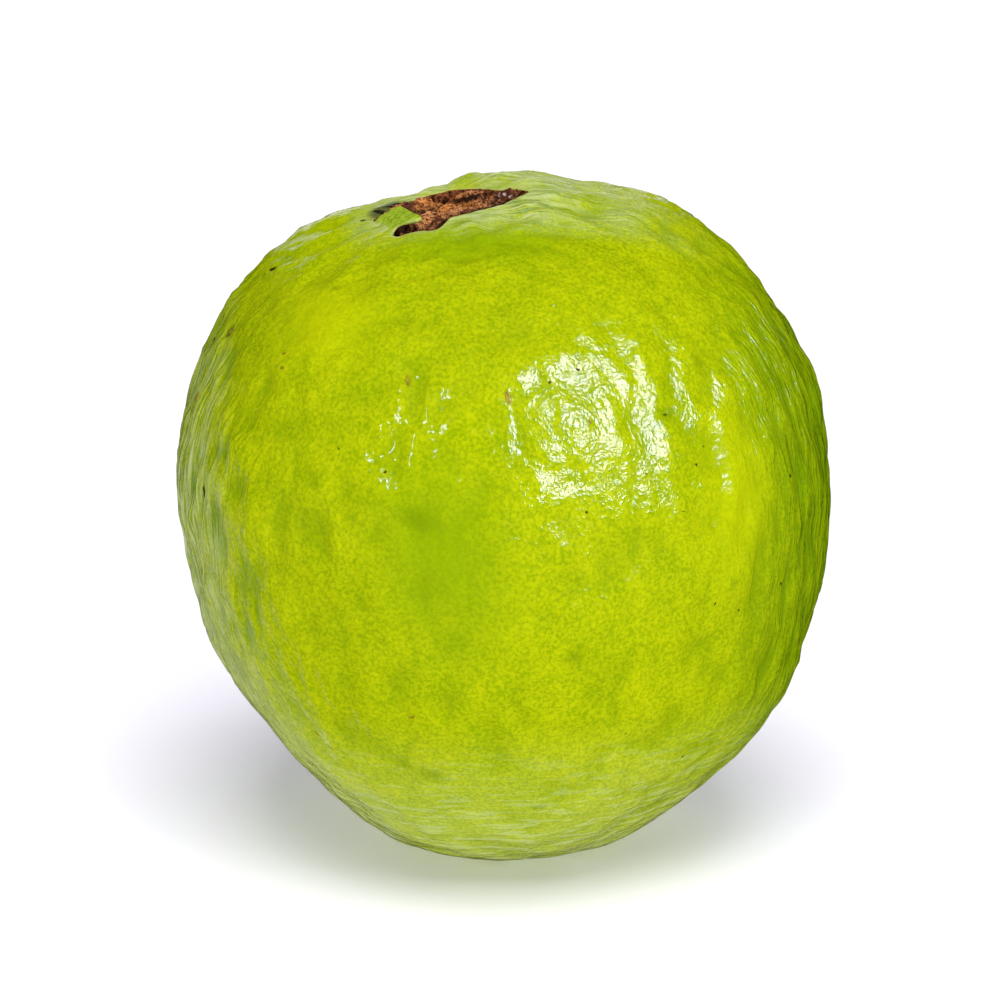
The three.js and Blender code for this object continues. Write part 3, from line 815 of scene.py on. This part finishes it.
def corkyRemains():
    # dead flower tissue: dry, matt and crumbly, light on its crests, with painted shade that turns its
    # crevices black
    look = flowerLook
    material, tree = newMaterial("dried_flower_tissue")
    place = addNode(tree, "ShaderNodeTexCoord", output="Object")
    inMm = addNode(tree, "ShaderNodeVectorMath", {"operation": "SCALE"}, {0: place, "Scale": 1 / mm})
    stretched = addNode(tree, "ShaderNodeMapping", {}, {"Vector": inMm, "Scale": look["fibre"]})
    settings = {"Vector": stretched, "Scale": 1 / look["grain"], "Detail": 3.0, "Roughness": 0.75}
    fields = {"all": 1.0, "grain": addNode(tree, "ShaderNodeTexNoise", {}, settings)}
    for name in ("openness", "ring"):
        fields[name] = addNode(tree, "ShaderNodeAttribute", {"attribute_name": name}, output="Fac")
    color = painted(tree, fields, look["middle"], look["underMarks"])
    color = paintMarks(tree, inMm, color, flowerMarks, flowerTree)[0]
    color = painted(tree, fields, color, look["overMarks"])
    relief = {"Strength": 1.0, "Distance": look["grainHeight"] * mm, "Height": fields["grain"]}
    bump = addNode(tree, "ShaderNodeBump", {}, relief)
    finish = {"Roughness": 0.8, "IOR": 1.5, "Specular IOR Level": 0.15}
    shader = addNode(tree, "ShaderNodeBsdfPrincipled", {}, {"Base Color": color, "Normal": bump, **finish})
    addNode(tree, "ShaderNodeOutputMaterial", {}, {"Surface": shader})
    return material


studio = {
    "floorSize": 6.0,  # m
    "floorColor": "#ffffff", "floorShade": "#bcbcbc",  # as it is seen, and as it lights the fruit
    "floorRoughness": 0.9,
    "glossColor": "#e4dcff",  # bluish, so that the glints stay white over the yellow-green
    "plainColor": "#ffffff",
    "shadowColor": "#8959ff",
    "floorGlow": 0.13,  # the floor is a lit sheet of acrylic, so its shadows stay light
    "bounce": 0.86,  # what the lit sheet gives the underside of the fruit
    "softLight": 0.35,  # even light of the white room, which the gloss doesn't show
    "paleSide": Vector((-0.6, 0.62, -0.5)),  # where the room is brightest, seen from the fruit
    "paleEdge": (0.86, 0.99),
    "blinds": 2.4, "slatWave": 1.5, "slatDetail": 2.0,  # light and dark bands that the room is reflected in
    "slatEdge": (0.35, 0.65), "slatDark": 0.1,
    "roomLight": 0.8,
}

# soft boxes: the way to each is right, up and towards the camera, distances and sizes are in m, powers in W
lamps = {
    "glint": {"way": (0.6, 0.32, 0.733), "away": 0.6, "size": (0.19, 0.33), "power": 4.2, "gloss": True},
    "strip": {"way": (-0.43, 0.35, 0.83), "away": 0.6, "size": (0.02, 0.16), "power": 0.25, "gloss": True},
    "rim": {"way": (-0.05, 0.42, -0.9), "away": 0.8, "size": (0.4, 0.12), "power": 0.4, "gloss": True},
    "front": {"way": (0.52, -0.17, 0.83), "away": 0.9, "size": (0.8, 0.8), "power": 3.6, "gloss": False},
    "above": {"way": (0.05, 0.70, 0.705), "away": 4.0, "size": (2.4, 2.4), "power": 142.0, "gloss": False},
    "behind": {"way": (-0.4, 0.35, -0.85), "away": 1.2, "size": (0.9, 0.9), "power": 6.0, "gloss": False},
}


def makeLight(name, lamp):
    towards = camera.rotation_euler.to_matrix() @ Vector(lamp["way"]).normalized()
    data = bpy.data.lights.new(name, "AREA")
    data.shape = "RECTANGLE"
    data.size, data.size_y = lamp["size"]
    data.energy = lamp["power"]
    data.color = linear(studio["glossColor"] if lamp["gloss"] else studio["plainColor"])[:3]
    light = bpy.data.objects.new(name, data)
    bpy.context.scene.collection.objects.link(light)
    light.location = view["target"] * mm + towards * lamp["away"]
    light.rotation_euler = (-towards).to_track_quat("-Z", "Y").to_euler()
    light.visible_glossy = lamp["gloss"]  # each one either glints in the wax or lights the fruit
    light.visible_diffuse = not lamp["gloss"]
    light.visible_camera = False


def makeFloor():
    bpy.ops.object.select_all(action="DESELECT")
    bpy.ops.mesh.primitive_plane_add(size=studio["floorSize"], location=(0, 0, 0))
    floor = bpy.context.active_object
    floor.name = "floor"
    material, tree = newMaterial("pale_floor")
    seen = addNode(tree, "ShaderNodeLightPath", output="Is Camera Ray")
    ends = {0: seen, 6: studio["floorShade"], 7: studio["floorColor"]}
    color = addNode(tree, "ShaderNodeMix", {"data_type": "RGBA"}, ends, output=2)
    ends = {0: seen, 6: studio["plainColor"], 7: studio["shadowColor"]}
    glowColor = addNode(tree, "ShaderNodeMix", {"data_type": "RGBA"}, ends, output=2)
    ends = {0: seen, 2: studio["bounce"], 3: studio["floorGlow"]}
    glow = addNode(tree, "ShaderNodeMix", {"data_type": "FLOAT"}, ends)
    finish = {"Base Color": color, "Roughness": studio["floorRoughness"]}
    finish.update({"Emission Color": glowColor, "Emission Strength": glow})
    shader = addNode(tree, "ShaderNodeBsdfPrincipled", {}, finish)
    addNode(tree, "ShaderNodeOutputMaterial", {}, {"Surface": shader})
    floor.data.materials.append(material)
    floor.visible_glossy = False


def makeWorld():
    # a white room, brighter on one side, whose blinds show in the gloss alone
    world = bpy.data.worlds.new("studio")
    bpy.context.scene.world = world
    world.use_nodes = True
    tree = world.node_tree
    tree.nodes.clear()
    way = addNode(tree, "ShaderNodeTexCoord", output="Generated")
    ends = {0: way, 1: studio["paleSide"].normalized()}
    facing = addNode(tree, "ShaderNodeVectorMath", {"operation": "DOT_PRODUCT"}, ends, output="Value")
    low, high = studio["paleEdge"]
    limits = {"Value": facing, "From Min": low, "From Max": high, "To Max": studio["roomLight"]}
    room = addNode(tree, "ShaderNodeMapRange", {}, limits)
    blinds = addNode(
        tree,
        "ShaderNodeTexWave",
        {"wave_type": "RINGS", "rings_direction": "Y"},
        {
            "Vector": way,
            "Scale": studio["blinds"],
            "Distortion": studio["slatWave"],
            "Detail Scale": studio["slatDetail"],
        },
        output="Fac",
    )
    low, high = studio["slatEdge"]
    limits = {"Value": blinds, "From Min": low, "From Max": high, "To Min": studio["slatDark"]}
    slats = addNode(tree, "ShaderNodeMapRange", {}, limits)
    room = addNode(tree, "ShaderNodeMath", {"operation": "MULTIPLY"}, {0: room, 1: slats})
    gloss = addNode(tree, "ShaderNodeLightPath", output="Is Glossy Ray")
    ends = {0: gloss, 2: studio["softLight"], 3: room}
    level = addNode(tree, "ShaderNodeMix", {"data_type": "FLOAT"}, ends)
    glow = addNode(tree, "ShaderNodeBackground", {}, {"Color": studio["plainColor"], "Strength": level})
    addNode(tree, "ShaderNodeOutputWorld", {}, {"Surface": glow})


skin = makeSkin()
print("skin", len(skin.data.polygons), "faces")
flower = makeFlower(skin)
print("dried flower", len(flower.data.polygons), "faces")
skin.data.materials.append(waxySkin())
flower.data.materials.append(corkyRemains())
print("materials ready")
for name, lamp in lamps.items():
    makeLight(name, lamp)
makeFloor()
makeWorld()
bpy.context.scene.view_settings.view_transform = "Standard"
print("studio ready")
